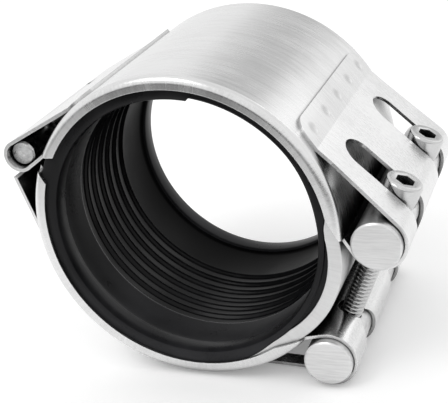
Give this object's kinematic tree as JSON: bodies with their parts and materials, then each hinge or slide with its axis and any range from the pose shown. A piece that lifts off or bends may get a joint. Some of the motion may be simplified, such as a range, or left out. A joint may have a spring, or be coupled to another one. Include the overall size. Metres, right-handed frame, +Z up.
{
  "type": "pipe repair clamp",
  "caption": "Hinged stainless pipe clamp with a ribbed rubber sleeve, closed by socket screws through cross bars.",
  "frame": {"origin": "on the pipe axis, midway along the casing", "axes": "+Y along the pipe, +Z up as the clamp lies on its lower lock strap, +X towards the lock side"},
  "size_m": [0.1439, 0.09, 0.1132],
  "materials": {
    "casing": "brushed",
    "pin": "satin",
    "bars": "satin",
    "screws": "polished",
    "plate": "satin",
    "rubber": "matt"
  },
  "bodies": {
    "lower": {"lower_shell": "casing", "hinge_pin": "pin", "bridge_plate": "plate", "sealing_sleeve": "rubber"},
    "upper": {"upper_shell": "casing"},
    "upper_bar": {"upper_lock_bar": "bars"},
    "lower_bar": {"lower_lock_bar": "bars"},
    "front_screw": {"front_clamp_screw": "screws"},
    "rear_screw": {"rear_clamp_screw": "screws"}
  },
  "joints": [
    {"name": "shell_hinge", "type": "hinge", "parent": "lower", "child": "upper", "pos_m": [-0.05978, 0, 0.02526], "axis": [0, 1, 0], "range_deg": [-3.63, 5.79], "deforming": ["sealing_sleeve", "bridge_plate"]},
    {"name": "lower_bar_turn", "type": "hinge", "parent": "lower", "child": "lower_bar", "pos_m": [0.04762, 0, -0.04713], "axis": [0, 1, 0], "range_deg": [-1.82, 2.9]},
    {"name": "upper_bar_turn", "type": "hinge", "parent": "upper", "child": "upper_bar", "pos_m": [0.06699, 0, -0.00129], "axis": [0, 1, 0], "range_deg": [-2.9, 1.82]},
    {"name": "front_screw_turn", "type": "hinge", "parent": "upper_bar", "child": "front_screw", "pos_m": [0.06699, -0.021, -0.00129], "axis": [-0.3892, 0, -0.9212], "range_deg": [-1800, 2880]},
    {"name": "rear_screw_turn", "type": "hinge", "parent": "upper_bar", "child": "rear_screw", "pos_m": [0.06699, 0.021, -0.00129], "axis": [-0.3892, 0, -0.9212], "range_deg": [-1805, 2885]}
  ],
  "couplings": [
    {"joint": "shell_hinge", "follows": "front_screw_turn", "ratio": 0.0020034},
    {"joint": "lower_bar_turn", "follows": "front_screw_turn", "ratio": 0.0010017},
    {"joint": "upper_bar_turn", "follows": "front_screw_turn", "ratio": -0.0010017},
    {"joint": "rear_screw_turn", "follows": "front_screw_turn", "ratio": 1}
  ]
}
